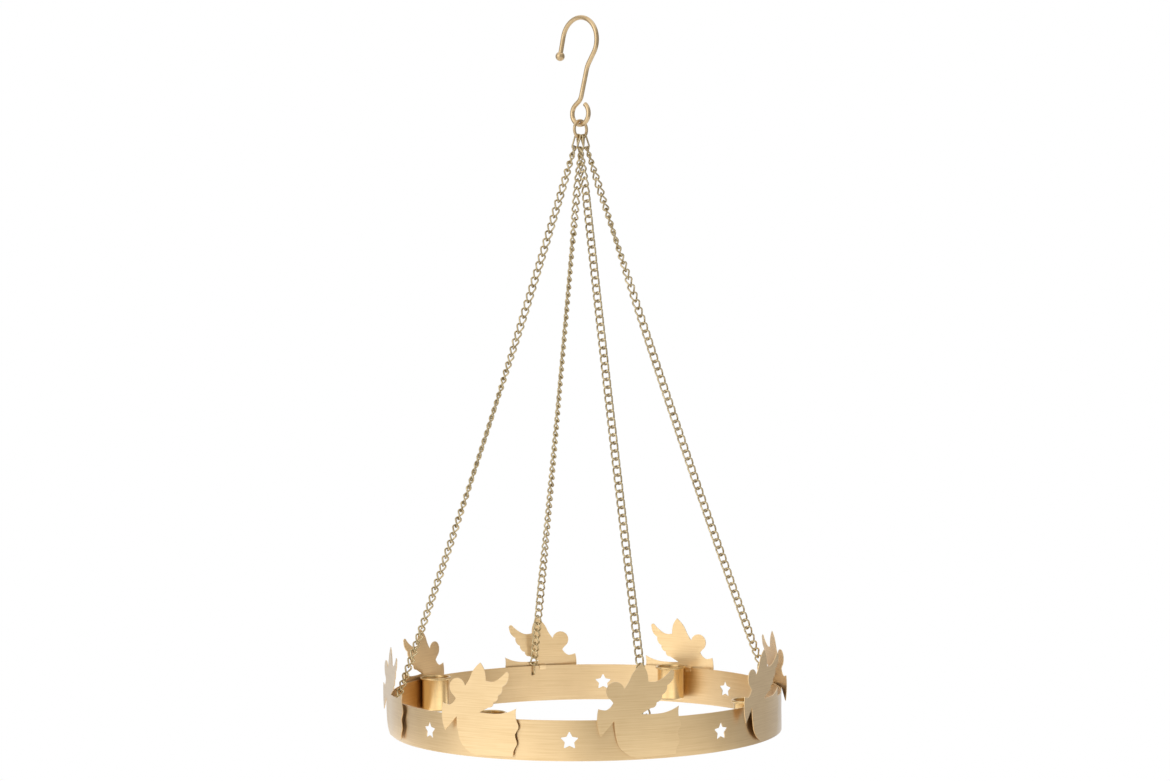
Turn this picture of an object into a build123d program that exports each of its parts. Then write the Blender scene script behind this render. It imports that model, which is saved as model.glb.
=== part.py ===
"""Hanging advent candle ring: a band with stars, angels and candle cups on four chains below a hook.

Millimetres, +Z up. The origin is the point inside the bow where the hook bears on its support.
The hook lies in the XZ plane, and the ring below it in the YZ plane.
"""

import math
import os

from build123d import *

# Hook, bent from one wire: a bow, a shank and an open eye
hook_wire = 4.0
hook_length = 90.0
hook_bow_radius = 19.5
hook_bow_end = 35.0
hook_tip_flare = 14.0
hook_tip_length = 16.5
hook_neck_run = 13.0
hook_neck_bend = 20.0
hook_eye_radius = 9.3
hook_eye_start = 125.0
hook_eye_arc = 290.0
hook_eye_run = 7.0
hook_eye_bend = 9.0
hook_ball_diameter = 8.0
ball_fit = 0.05

# Ring between the hook and the chains
ring_wire = 2.6
ring_radius = 7.5
ring_play = 0.15

# Curb chains: each link is a loop with a quarter twist
chain_count = 4
link_count = 71
link_pitch = 6.8
link_wire = 1.45
link_width = 7.0
link_bend = 2.3
link_play = 0.15
chain_sag = 3.2

# How far each chain has turned from its first link, in degrees, at shares of its length
chain_twists = [
    [(0.10, 88), (0.92, 88)],
    [(0.06, 43), (0.15, 0), (0.24, -47), (0.35, -84), (0.90, -84)],
    [(0.06, 48), (0.11, 38), (0.17, 3), (0.45, 3), (0.75, 28), (0.85, 73)],
    [(0.06, -47), (0.30, -57), (0.38, -32), (0.47, -2), (0.60, -2), (0.72, -34), (0.90, -37)],
]

# Head links, plain ovals that carry the chains on the ring
head_pitch = 10.5
head_width = 7.8
head_bend = 2.3
head_side_gap = 0.5
first_roll = 135.0

# Band, a flat strip rolled into a ring
band_diameter = 330.0
band_height = 32.0
band_sheet = 0.8
crown_turn = -30.0
star_tips = 5
star_radius = 7.6
star_waist = 3.9
star_tip_round = 0.5
star_waist_round = 0.4

# End links through the band
end_wire = 1.45
end_width = 6.65
end_play = 0.2
end_hole_drop = 7.0
end_hole_diameter = 3.2
end_top_play = 0.3

# Candle cups, drawn from sheet, with a rolled lip
cup_bore = 22.5
cup_wall = 0.5
cup_height = 29.5
cup_floor_round = 2.0
cup_lip_diameter = 2.2
cup_lip_rest = 0.02
cup_seat = 0.15
cup_shift = 5.5

# Angels cut from sheet; outline sizes run sideways from the notch and up from the angel's foot
angel_sheet = 0.6
angel_shift = 6.0
angel_lift = 1.5
angels_per_chain = 2
arm_tip = (-34.3, 40.1)
arm_top = [(-31.5, 39.2), (-28.0, 38.9), (-25.0, 40.6), (-22.2, 44.3)]
head_centre = (-20.5, 53.2)
head_radius = 7.4
chin_angle = 239.0
nape_angle = 12.0
wing_front = [(-9.6, 59.8), (-5.6, 67.4), (1.1, 74.0)]
wing_inner_edge = [(4.9, 68.4), (6.2, 60.0)]
wing_top = [(13.0, 59.6), (19.4, 62.9), (24.8, 67.8)]
feather_tips = [(24.8, 67.8), (27.4, 65.0), (21.6, 56.2), (17.4, 48.8), (12.9, 43.2), (8.6, 39.0)]
feather_bulge = 1.5
notch = (0.0, 34.6)
skirt_top = [(10.8, 34.1), (21.2, 35.0), (32.2, 39.2)]
hem = [(31.9, 31.3), (34.0, 24.7), (31.0, 18.3), (32.5, 11.6), (29.6, 5.2), (29.2, 1.4)]
tail_foot = (0.0, 0.5)
skirt_bottom = (-3.2, 0.4)
skirt_front = [(-11.9, 3.8), (-17.8, 9.6), (-20.5, 18.4), (-21.6, 30.0)]
cuff_bottom = (-32.7, 18.2)
cuff_side = (-35.3, 28.0)

# Clips that carry the angels on the band's top edge
clip_width = 6.0
clip_sheet = 0.6
clip_leg = 3.6
clip_play = 0.25
clip_rest = 0.02
clip_side_gap = 0.8
chain_clip_offset = -3.0

# Heights down the middle line
bow_centre_z = hook_wire / 2 - hook_bow_radius
eye_bottom_z = hook_wire / 2 - hook_length
eye_centre_z = eye_bottom_z + hook_eye_radius
ring_centre_z = eye_bottom_z + (hook_wire + ring_wire) / 2 + ring_play - ring_radius
ring_seat_radius = ring_radius - ring_wire / 2 - ring_play

# Radii and heights of the crown, found from the length of the chains
band_radius = band_diameter / 2
band_inner_radius = band_radius - band_sheet
end_half = (end_width - end_wire) / 2
end_radius = band_radius + end_play + end_wire / 2 - end_half
chain_length = head_pitch + link_count * link_pitch
chain_lean = math.asin(end_radius / chain_length)
end_seat_radius = end_half - link_wire / 2
chain_foot_radius = end_radius - end_seat_radius * math.sin(chain_lean)
chain_foot_z = ring_centre_z - ring_seat_radius - math.sqrt(chain_length**2 - chain_foot_radius**2)
end_top_z = chain_foot_z - end_seat_radius * math.cos(chain_lean)
band_top_z = end_top_z - end_top_play
band_bottom_z = band_top_z - band_height
end_hole_z = band_top_z - end_hole_drop
end_reach = band_radius - band_sheet / 2 - end_radius
end_bottom_z = end_hole_z + math.sqrt(end_half**2 - end_reach**2)
angel_radius = band_radius + end_wire + 2 * end_play
cup_radius = cup_bore / 2 + cup_wall
cup_centre_radius = band_inner_radius + cup_seat - cup_radius
cup_lip_z = band_top_z + cup_lip_rest + cup_lip_diameter / 2
cup_top_z = cup_lip_z + cup_lip_diameter / 2
cup_bottom_z = cup_top_z - cup_height
cup_lip_radius = cup_radius + (cup_lip_diameter - cup_wall) / 2

# Directions round the crown
chain_step = 360 / chain_count
chain_angles = [crown_turn + chain_step * k for k in range(chain_count)]
angel_count = chain_count * angels_per_chain
angel_angles = [crown_turn + chain_step / angels_per_chain * k for k in range(angel_count)]
cup_turn = chain_step / angels_per_chain - math.degrees(cup_shift / band_radius)
cup_angles = [angle + cup_turn for angle in chain_angles]
star_angles = [angle + chain_step / (2 * angels_per_chain) for angle in angel_angles]


def polar_point(centre, distance, angle):
    """A point of a flat drawing, this far from a centre in a direction in degrees."""
    turn = math.radians(angle)
    return (centre[0] + distance * math.cos(turn), centre[1] + distance * math.sin(turn))


def round_point(radius, angle, height):
    """A point at this radius, direction in degrees and height."""
    turn = math.radians(angle)
    return Vector(radius * math.cos(turn), radius * math.sin(turn), height)


def face_plane(radius, angle, height):
    """An upright plane tangent to the crown: its x runs round, its y up and its normal outwards."""
    return Plane(
        origin=round_point(radius, angle, height),
        x_dir=round_point(1, angle + 90, 0),
        z_dir=round_point(1, angle, 0),
    )


def edge_plane(angle):
    """An upright plane through the middle line: its x runs outwards and its y up."""
    return Plane(origin=(0, 0, 0), x_dir=round_point(1, angle, 0), z_dir=round_point(1, angle - 90, 0))


def save(part, name):
    """Label one piece and write it to its own file."""
    part.label = name
    export_step(part, f"parts/{name}.step")


os.makedirs("parts", exist_ok=True)

# Hook
bow_centre = (0, bow_centre_z)
eye_centre = (0, eye_centre_z)
bow_start = polar_point(bow_centre, hook_bow_radius, 180 - hook_tip_flare)
ball_centre = polar_point(bow_start, hook_tip_length, 270 - hook_tip_flare)
bow_stop = polar_point(bow_centre, hook_bow_radius, -hook_bow_end)
neck_corner = polar_point(bow_stop, hook_neck_run, -hook_bow_end - 90)
eye_entry = polar_point(eye_centre, hook_eye_radius, hook_eye_start)
eye_corner = polar_point(eye_entry, hook_eye_run, hook_eye_start - 90)

with BuildPart() as hook:
    with BuildLine(Plane.XZ) as hook_path:
        Line(ball_centre, bow_start)
        CenterArc(bow_centre, hook_bow_radius, -hook_bow_end, 180 - hook_tip_flare + hook_bow_end)
        FilletPolyline(bow_stop, neck_corner, eye_corner, eye_entry, radius=[hook_neck_bend, hook_eye_bend])
        CenterArc(eye_centre, hook_eye_radius, hook_eye_start, hook_eye_arc)
    with BuildSketch(Plane(hook_path.line @ 0, z_dir=hook_path.line % 0)):
        Circle(hook_wire / 2)
    sweep()
save(hook.part, "hook")

with BuildPart() as hook_ball:
    ball_plane = Plane(hook_path.line @ 0, z_dir=hook_path.line % 0)
    with Locations(ball_plane):
        Sphere(hook_ball_diameter / 2)
    with BuildSketch(ball_plane):
        Circle(hook_wire / 2 + ball_fit)
    extrude(amount=hook_ball_diameter, mode=Mode.SUBTRACT)
save(hook_ball.part, "hook_ball")

# Top ring
with BuildPart() as top_ring:
    with Locations(Location((0, 0, ring_centre_z), (0, 90, 0))):
        Torus(ring_radius, ring_wire / 2)
save(top_ring.part, "top_ring")

# One chain link, standing on its own middle: the top end and the bottom end lie a quarter turn apart
link_half = (link_width - link_wire) / 2
link_reach = (link_pitch + link_wire + link_play) / 2
link_side = [
    (0, 0, link_reach),
    (link_half, -link_half, link_reach),
    (link_half, link_half, -link_reach),
    (0, 0, -link_reach),
]

with BuildPart() as link:
    for side_plane in (Plane.XY, Plane.XY.rotated((0, 0, 180))):
        with BuildLine(side_plane) as side_path:
            FilletPolyline(*link_side, radius=link_bend)
        with BuildSketch(Plane(side_path.line @ 0, z_dir=side_path.line % 0)):
            Circle(link_wire / 2)
        sweep()


def link_plane(upper, lower, roll):
    """The place of the link between two crossings, rolled so many degrees about its length."""
    line = upper - lower
    across = line.cross(round_point(1, roll, 0)).cross(line)
    return Plane(origin=(upper + lower) / 2, x_dir=across, z_dir=line)


def turned_at(knots, share):
    """Degrees that a chain has turned from its first link at a share of its length."""
    for (start, low), (end, high) in zip(knots, knots[1:]):
        if share <= end:
            return low + (high - low) * (share - start) / (end - start)


# Chains: the head links hang side by side on the ring, ordered along its wire
head_half = (head_width - link_wire) / 2
head_reach = (head_pitch + link_wire + link_play) / 2
side_turn = (link_wire + head_side_gap) / (ring_seat_radius - link_wire / 2)
ring_order = sorted(chain_angles, key=lambda angle: math.sin(math.radians(angle)))
shares = [(head_pitch + link_pitch * k) / chain_length for k in range(link_count + 1)]

for number, angle in enumerate(chain_angles, start=1):
    seat_turn = side_turn * (ring_order.index(angle) - (chain_count - 1) / 2)
    seat_height = ring_centre_z - ring_seat_radius * math.cos(seat_turn)
    seat = Vector(0, ring_seat_radius * math.sin(seat_turn), seat_height)
    foot = round_point(chain_foot_radius, angle, chain_foot_z)
    chord = foot - seat
    sag = chord.cross(Vector(0, 0, 1)).cross(chord).normalized() * -chain_sag
    crossings = [seat + chord * share + sag * (4 * share * (1 - share)) for share in shares]

    with BuildPart() as head_link:
        head_plane = link_plane(seat, crossings[0], 0)
        head_side = Plane(head_plane.origin, x_dir=head_plane.x_dir, z_dir=-head_plane.y_dir)
        with BuildLine(head_side) as head_path:
            FilletPolyline(
                (head_half, head_reach),
                (head_half, -head_reach),
                (-head_half, -head_reach),
                (-head_half, head_reach),
                radius=head_bend,
                close=True,
            )
        with BuildSketch(Plane(head_path.line @ 0, z_dir=head_path.line % 0)):
            Circle(link_wire / 2)
        sweep()
    save(head_link.part, f"head_link_{number}")

    knots = [(0, 0), *chain_twists[(number - 1) % len(chain_twists)], (1, angle % 180 - 90)]
    links = []
    for k in range(link_count):
        roll = first_roll + turned_at(knots, k / (link_count - 1))
        links.append(link_plane(crossings[k], crossings[k + 1], roll).location * link.part)
    save(Compound(children=links), f"chain_{number}")

# Band
star_points = []
for k in range(star_tips):
    star_points.append(polar_point((0, 0), star_radius, 90 + 360 / star_tips * k))
    star_points.append(polar_point((0, 0), star_waist, 90 + 360 / star_tips * (k + 0.5)))
star_rounds = [star_tip_round, star_waist_round] * star_tips

with BuildPart() as band:
    with BuildSketch(Plane.XY.offset(band_bottom_z)):
        Circle(band_radius)
        Circle(band_inner_radius, mode=Mode.SUBTRACT)
    extrude(amount=band_height)
    for angle in star_angles:
        with BuildSketch(face_plane(band_radius, angle, band_bottom_z + band_height / 2)):
            with BuildLine():
                FilletPolyline(*star_points, radius=star_rounds, close=True)
            make_face()
        extrude(amount=2 * band_sheet, both=True, mode=Mode.SUBTRACT)
    for angle in chain_angles:
        with BuildSketch(face_plane(band_radius, angle, end_hole_z)):
            Circle(end_hole_diameter / 2)
        extrude(amount=2 * band_sheet, both=True, mode=Mode.SUBTRACT)
save(band.part, "band")

# End links
for number, angle in enumerate(chain_angles, start=1):
    inside = end_radius - end_half
    outside = end_radius + end_half
    lowest_z = end_bottom_z - end_half
    with BuildPart() as end_link:
        with BuildLine(edge_plane(angle)) as end_path:
            Line((inside, end_bottom_z), (inside, end_top_z))
            ThreePointArc((inside, end_top_z), (end_radius, end_top_z + end_half), (outside, end_top_z))
            Line((outside, end_top_z), (outside, end_bottom_z))
            ThreePointArc((outside, end_bottom_z), (end_radius, lowest_z), (inside, end_bottom_z))
        with BuildSketch(Plane(end_path.line @ 0, z_dir=end_path.line % 0)):
            Circle(end_wire / 2)
        sweep()
    save(end_link.part, f"end_link_{number}")

# Candle cups
for number, angle in enumerate(cup_angles, start=1):
    cup_axis = Axis(round_point(cup_centre_radius, angle, 0), (0, 0, 1))
    with BuildPart() as cup:
        with BuildSketch(edge_plane(angle) * Pos(cup_centre_radius, cup_bottom_z)):
            with BuildLine():
                Polyline(
                    (0, 0),
                    (cup_radius, 0),
                    (cup_radius, cup_lip_z - cup_bottom_z),
                    (cup_bore / 2, cup_lip_z - cup_bottom_z),
                    (cup_bore / 2, cup_wall),
                    (0, cup_wall),
                    close=True,
                )
            make_face()
            with Locations((cup_lip_radius, cup_lip_z - cup_bottom_z)):
                Circle(cup_lip_diameter / 2)
        revolve(axis=cup_axis)
        fillet(cup.edges().filter_by(GeomType.CIRCLE).sort_by(Axis.Z)[0], cup_floor_round)
        with BuildSketch(Plane.XY.offset(band_bottom_z)):
            Circle(band_diameter)
            Circle(band_inner_radius, mode=Mode.SUBTRACT)
        extrude(amount=band_height, mode=Mode.SUBTRACT)
    save(cup.part, f"candle_cup_{number}")

# Outline of an angel flying towards its arms, seen from outside
chin = polar_point(head_centre, head_radius, chin_angle)
head_top = polar_point(head_centre, head_radius, (chin_angle + nape_angle) / 2)
nape = polar_point(head_centre, head_radius, nape_angle)

with BuildSketch() as body_outline:
    with BuildLine():
        Spline(arm_tip, *arm_top)
        Line(arm_top[-1], chin)
        ThreePointArc(chin, head_top, nape)
        Spline(nape, *wing_front)
        Spline(wing_front[-1], *wing_inner_edge)
        Spline(wing_inner_edge[-1], *wing_top)
        for start, end in zip(feather_tips[:-1], feather_tips[1:]):
            SagittaArc(start, end, feather_bulge)
        Polyline(feather_tips[-1], notch, tail_foot, skirt_bottom)
        Spline(skirt_bottom, *skirt_front)
        Line(skirt_front[-1], cuff_bottom)
        ThreePointArc(cuff_bottom, cuff_side, arm_tip)
    make_face()

with BuildSketch() as tail_outline:
    with BuildLine():
        Spline(notch, *skirt_top)
        Spline(skirt_top[-1], *hem)
        Polyline(hem[-1], tail_foot, notch)
    make_face()

# Angels, flat but for the skirt's tail, which follows the band, and the clips that carry them
shift_turn = math.degrees(angel_shift / angel_radius)
angel_foot_z = band_bottom_z + angel_lift
tail_size = tail_outline.sketch.bounding_box().max
clip_outer = math.sqrt(angel_radius**2 - (clip_width / 2) ** 2) - clip_rest
clip_inner = math.sqrt(band_inner_radius**2 - (clip_width / 2) ** 2) - clip_play
clip_top_z = band_top_z + clip_rest
lip_outer = cup_lip_radius + cup_lip_diameter / 2
lip_reach = math.sqrt(lip_outer**2 - (clip_inner - clip_sheet - cup_centre_radius) ** 2)
cup_clip_offset = angel_shift - cup_shift - lip_reach - clip_side_gap - clip_width / 2
clip_offsets = [chain_clip_offset, cup_clip_offset]
clip_profile = [
    (clip_inner, clip_top_z),
    (clip_outer - clip_sheet, clip_top_z),
    (clip_outer - clip_sheet, clip_top_z - clip_leg),
    (clip_outer, clip_top_z - clip_leg),
    (clip_outer, clip_top_z + clip_sheet),
    (clip_inner - clip_sheet, clip_top_z + clip_sheet),
    (clip_inner - clip_sheet, clip_top_z - clip_leg),
    (clip_inner, clip_top_z - clip_leg),
]

for number, angle in enumerate(angel_angles, start=1):
    plate_angle = angle - shift_turn
    angel_plane = face_plane(angel_radius, plate_angle, angel_foot_z)
    with BuildPart() as angel:
        with BuildSketch(angel_plane):
            add(tail_outline.sketch)
        extrude(amount=tail_size.X, both=True)
        with BuildSketch(Plane.XY.offset(angel_foot_z)):
            Circle(angel_radius + angel_sheet)
            Circle(angel_radius, mode=Mode.SUBTRACT)
        extrude(amount=tail_size.Y, mode=Mode.INTERSECT)
        with BuildSketch(angel_plane):
            add(body_outline.sketch)
        extrude(amount=angel_sheet)
    save(angel.part, f"angel_{number}")

    clip_offset = clip_offsets[(number - 1) % angels_per_chain]
    with BuildPart() as clip:
        with BuildSketch(edge_plane(plate_angle + math.degrees(clip_offset / angel_radius))):
            with BuildLine():
                Polyline(*clip_profile, close=True)
            make_face()
        extrude(amount=clip_width / 2, both=True)
    save(clip.part, f"clip_{number}")
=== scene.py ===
"""Looks of a hanging advent candle ring in satin brass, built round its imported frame."""

import math

import bmesh
import bpy
from bpy.props import FloatProperty, FloatVectorProperty, IntProperty, PointerProperty
from mathutils import Matrix, Vector


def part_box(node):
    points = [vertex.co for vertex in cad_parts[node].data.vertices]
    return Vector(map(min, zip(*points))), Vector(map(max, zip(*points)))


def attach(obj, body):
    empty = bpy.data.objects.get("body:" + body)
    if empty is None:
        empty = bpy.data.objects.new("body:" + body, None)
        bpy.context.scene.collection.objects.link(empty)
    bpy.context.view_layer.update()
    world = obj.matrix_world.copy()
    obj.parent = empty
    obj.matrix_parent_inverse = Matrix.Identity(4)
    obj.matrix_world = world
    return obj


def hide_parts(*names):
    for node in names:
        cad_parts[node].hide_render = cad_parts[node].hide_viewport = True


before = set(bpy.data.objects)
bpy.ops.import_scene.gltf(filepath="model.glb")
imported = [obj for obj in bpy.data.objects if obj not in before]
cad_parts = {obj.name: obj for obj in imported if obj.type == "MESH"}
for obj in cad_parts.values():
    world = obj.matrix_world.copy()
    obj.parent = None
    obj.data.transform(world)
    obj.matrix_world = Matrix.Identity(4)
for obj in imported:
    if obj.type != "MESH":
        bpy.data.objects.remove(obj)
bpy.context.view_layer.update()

bl_info = {
    "name": "Hanging advent candle ring",
    "version": (1, 0, 0),
    "blender": (4, 5, 0),
    "location": "View3D > Sidebar > Candle ring",
    "description": "Builds the hook, chains, star band, candle cups and angels of a hanging candle ring",
    "category": "Add Mesh",
}

MM = 0.001
FULL_TURN = 2 * math.pi

# Width of the photograph's frame, in pixels
IMAGE_WIDTH = 1170

# How finely round forms are divided
CORNER_STEPS = 6
CURVE_STEPS = 8
WIRE_SIDES = 16
LINK_SIDES = 10
ROUND_STEPS = 96
BEVEL_STEPS = 2
ROUND_PROFILE = 0.5

# How finely sheets are divided before they are rolled
STRIP_ROWS = 8
STRIP_STEP = 5 * MM
ANGEL_STEP = 3 * MM
# Room that the strip's cells leave round a hole, as multiples of its size
STAR_MARGIN = 1.6
HOLE_MARGIN = 2

# Points that lie nearer than this are one point
SAME_POINT = 0.001 * MM
SAME_CUP_POINT = 0.005 * MM
# Edges that bend more than this stay sharp
SHARP = math.radians(60)
CUP_SHARP = math.radians(50)
# How level a face of a sheet's flat side is, and the little that its eased edges weigh in the shading
FLAT = 0.999
EDGE_WEIGHT = 0.001
# Inner bend radius of the clips, as a share of their sheet
CLIP_INNER_BEND = 0.25

# Where most values of a noise texture lie
NOISE_SPAN = (0.3, 0.7)
WHITE = (1, 1, 1, 1)

# Where the floor starts and ends its run to white, as shares of its half width, and how white it starts
FADE_START = 0.125
FADE_END = 0.9
NEAR_WHITE = 0.5
# Width of the camera's sensor in millimetres, and how far it sees in metres
SENSOR_WIDTH = 36
CLIP_END = 100

# Counts that the object's own nodes give
CHAINS = sum(name.startswith("chain_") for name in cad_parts)
ANGELS = sum(name.startswith("angel_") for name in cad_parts)

# Outline of one angel in millimetres, sideways from the notch under its wing and up from its foot
ARM_TIP = (-34.3, 40.1)
ARM_TOP = [(-31.5, 39.2), (-28.0, 38.9), (-25.0, 40.6), (-22.2, 44.3)]
HEAD_CENTRE = (-20.5, 53.2)
HEAD_RADIUS = 7.4
CHIN_ANGLE = 239.0
NAPE_ANGLE = 12.0
WING_FRONT = [(-9.6, 59.8), (-5.6, 67.4), (1.1, 74.0)]
WING_INNER_EDGE = [(4.9, 68.4), (6.2, 60.0)]
WING_TOP = [(13.0, 59.6), (19.4, 62.9), (24.8, 67.8)]
FEATHER_TIPS = [(24.8, 67.8), (27.4, 65.0), (21.6, 56.2), (17.4, 48.8), (12.9, 43.2), (8.6, 39.0)]
FEATHER_BULGE = 1.5
NOTCH = (0.0, 34.6)
SKIRT_TOP = [(10.8, 34.1), (21.2, 35.0), (32.2, 39.2)]
HEM = [(31.9, 31.3), (34.0, 24.7), (31.0, 18.3), (32.5, 11.6), (29.6, 5.2), (29.2, 1.4)]
TAIL_FOOT = (0.0, 0.5)
SKIRT_BOTTOM = (-3.2, 0.4)
SKIRT_FRONT = [(-11.9, 3.8), (-17.8, 9.6), (-20.5, 18.4), (-21.6, 30.0)]
CUFF_BOTTOM = (-32.7, 18.2)
CUFF_SIDE = (-35.3, 28.0)
# Rise of the line between the wing and the tail, which leave the notch together
TAIL_SLOPE = 0.3

# How far each chain has turned from its first link, in degrees, at shares of its length
CHAIN_TWISTS = [
    [(0.10, 88), (0.92, 88)],
    [(0.06, 43), (0.15, 0), (0.24, -47), (0.35, -84), (0.90, -84)],
    [(0.06, 48), (0.11, 38), (0.17, 3), (0.45, 3), (0.75, 28), (0.85, 73)],
    [(0.06, -47), (0.30, -57), (0.38, -32), (0.47, -2), (0.60, -2), (0.72, -34), (0.90, -37)],
]


def linear(hex_colour):
    """An sRGB hex colour as linear red, green and blue."""
    channels = [int(hex_colour[i:i + 2], 16) / 255 for i in (1, 3, 5)]
    return tuple(c / 12.92 if c <= 0.04045 else ((c + 0.055) / 1.055) ** 2.4 for c in channels)


def length(name, description, millimetres):
    """A length property whose default is given in millimetres."""
    return FloatProperty(
        name=name, description=description, default=millimetres * MM, unit="LENGTH", precision=5
    )


def angle(name, description, degrees):
    """An angle property whose default is given in degrees."""
    return FloatProperty(name=name, description=description, default=math.radians(degrees), unit="ROTATION")


def colour(name, description, hex_colour):
    """A colour property whose default is an sRGB hex value."""
    return FloatVectorProperty(
        name=name, description=description, default=linear(hex_colour), subtype="COLOR", size=3, min=0, max=1
    )


def extent(node):
    """A node's size along each axis, in millimetres."""
    low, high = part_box(node)
    return (high - low) / MM


class HookSizes(bpy.types.PropertyGroup):
    """Sizes of the hook, its ball and the ring below it."""

    wire: length("Hook wire", "Thickness of the hook's wire", extent("hook").y)
    bow_radius: length("Bow radius", "Radius of the bow at the wire's middle", 19.5)
    bow_end: angle("Bow end", "How far the bow turns past the level on the shank side", 35)
    tip_flare: angle("Tip flare", "Lean of the free end away from the shank", 14)
    tip_length: length("Tip length", "Straight run from the bow to the ball", 16.5)
    neck_run: length("Neck run", "Run from the bow to the corner of the neck", 13)
    neck_bend: length("Neck bend", "Bend radius at the neck", 20)
    eye_radius: length("Eye radius", "Radius of the eye at the wire's middle", 9.3)
    eye_start: angle("Eye start", "Direction from the eye's middle where the shank joins it", 125)
    eye_arc: angle("Eye arc", "How far the wire runs round the eye", 290)
    eye_run: length("Eye run", "Run from the shank's corner to the eye", 7)
    eye_bend: length("Eye bend", "Bend radius where the shank meets the eye", 9)
    ball: length("Ball", "Diameter of the ball on the free end", extent("hook_ball").y)
    ring_wire: length("Ring wire", "Thickness of the ring's wire", extent("top_ring").x)
    ring_width: length("Ring width", "Outside diameter of the ring", extent("top_ring").y)


class ChainSizes(bpy.types.PropertyGroup):
    """Sizes of the chains and of the links at their ends."""

    links: IntProperty(name="Links", description="Curb links in each chain", default=71, min=1)
    pitch: length("Pitch", "Length that one link adds to the chain", 6.8)
    wire: length("Link wire", "Thickness of the links' wire", 1.45)
    width: length("Link width", "Outside width of a link", 7.0)
    bend: length("Link bend", "Bend radius of a link's corners", 2.3)
    play: length("Link play", "Free length between two links", 0.15)
    sag: length("Sag", "How far a chain hangs below its straight line", 3.2)
    head_pitch: length("Head pitch", "Length that the head link adds", 10.5)
    head_width: length("Head width", "Outside width of a head link", 7.8)
    head_gap: length("Head gap", "Gap between two head links on the ring", 0.5)
    first_roll: angle("First roll", "Direction that each chain's first link is turned to", 135)
    end_width: length("End width", "Outside width of an end link", 6.65)
    end_play: length("End play", "Gap between the band and an end link", 0.2)
    end_top_play: length("End top play", "Height of an end link's straight sides over the band", 0.3)
    end_hole_drop: length("End hole drop", "Depth of the chain holes below the band's top edge", 7.0)
    end_hole: length("End hole", "Diameter of the chain holes", 3.2)


class CrownSizes(bpy.types.PropertyGroup):
    """Sizes of the band, cups, angels and clips."""

    diameter: length("Band diameter", "Outside diameter of the band", extent("band").x)
    sheet: length("Band sheet", "Thickness of the band", 0.8)
    star_radius: length("Star radius", "From a star's middle to its tips", 7.6)
    star_waist: length("Star waist", "From a star's middle to its inner corners", 3.9)
    star_tips: IntProperty(name="Star tips", description="Points of each star", default=5, min=3)
    tip_round: length("Tip round", "Rounding of a star's tips", 0.5)
    waist_round: length("Waist round", "Rounding of a star's inner corners", 0.4)
    eased_edge: length("Eased edge", "How far the cut edges of the sheets are eased", 0.12)
    seam: length("Seam", "Gap between the strip's two ends, behind a cup", 0.1)
    cup_bore: length("Cup bore", "Inside diameter of the candle cups", 22.5)
    cup_wall: length("Cup wall", "Thickness of the cups' sheet", 0.5)
    cup_lip: length("Cup lip", "Thickness of the cups' rolled lip", 2.2)
    cup_floor_round: length("Cup floor round", "Outside rounding at the cups' floor", 2.0)
    angel_sheet: length("Angel sheet", "Thickness of the angels", 0.6)
    angel_shift: length("Angel shift", "From an angel's notch to the chain or cup behind it", 6.0)
    angel_lift: length("Angel lift", "Height of an angel's foot over the band's lower edge", 1.5)
    clip_width: length("Clip width", "Width of the clips on the band's top edge", 6.0)
    clip_sheet: length("Clip sheet", "Thickness of the clips", 0.6)
    clip_leg: length("Clip leg", "Length of the clips' legs", 3.6)
    clip_play: length("Clip play", "Gap between a clip's inner leg and the band", 0.25)
    clip_rest: length("Clip rest", "Gap between a clip's bridge and the band", 0.02)


class BrassColours(bpy.types.PropertyGroup):
    """Colours of the brass finishes."""

    sheet: colour("Sheet", "Brushed brass sheet of the angels and clips", "#F0D2A0")
    sheet_dark: colour("Sheet streaks", "Darker brush lines in the sheet", "#CBA568")
    band: colour("Band", "Brushed brass strip of the band", "#E9CA98")
    band_dark: colour("Band streaks", "Darker brush lines in the band", "#CAA66C")
    cup: colour("Cup", "Drawn brass of the cups", "#D6B784")
    wire: colour("Wire", "Satin brass wire of the hook and ring", "#DDC092")
    wire_dark: colour("Wire shade", "Darker tone in the wire", "#BB9B69")
    chain: colour("Chain", "Tumbled brass of the chains", "#E2D0A8")
    chain_dark: colour("Chain shade", "Darker tone in the chains", "#A08A62")
    # Painted shade: a dark brown that the chains' reflections take where the wire turns away from the eye, so
    # that each link shows a brown outline
    chain_edge_shade: colour("Chain edge", "Tone of the chains where the wire turns away", "#5E4E34")


class StageSettings(bpy.types.PropertyGroup):
    """Camera, floor and light."""

    camera_azimuth: angle("Camera azimuth", "Direction of the camera round the ring", 43.13)
    camera_distance: length("Camera distance", "From the hanging line to the camera", 2112)
    camera_height: length("Camera height", "Height of the camera from the hook's bearing point", -262)
    camera_yaw: angle("Camera yaw", "Turn of the camera to the right", 0.045)
    camera_pitch: angle("Camera pitch", "Tilt of the camera upwards", -1.357)
    camera_roll: angle("Camera roll", "Lean of the camera", -0.55)
    focal_pixels: FloatProperty(
        name="Focal length", description="Focal length in pixels of the frame", default=2501.5
    )
    floor_drop: length("Floor drop", "Depth of the floor below the band", 900)
    floor_size: length("Floor size", "Width of the floor", 6000)
    wall_radius: length("Wall radius", "Distance of the studio wall that the metal mirrors", 3000)
    wall_height: length("Wall height", "Height of the studio wall", 4200)
    card_radius: length("Card radius", "Distance of the white card round the foot of the crown", 240)
    card_drop: length("Card drop", "Depth of the card's top edge below the band", 24)
    card_height: length("Card height", "Height of the white card", 160)
    pale: colour("Pale floor", "Colour of the floor", "#F4F3F1")
    fill: FloatProperty(name="Fill", description="Strength of the even light on matt surfaces", default=0.8)
    lamp_side: angle("Lamp side", "Direction of the lamp to the left of the camera", 50)
    lamp_elevation: angle("Lamp elevation", "How far the lamp stands above the crown", 25)
    lamp_distance: length("Lamp distance", "From the crown to the lamp", 2200)
    lamp_size: length("Lamp size", "Width of the square lamp", 1600)
    lamp_watts: FloatProperty(name="Lamp power", description="Power of the lamp in watts", default=5)


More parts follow.
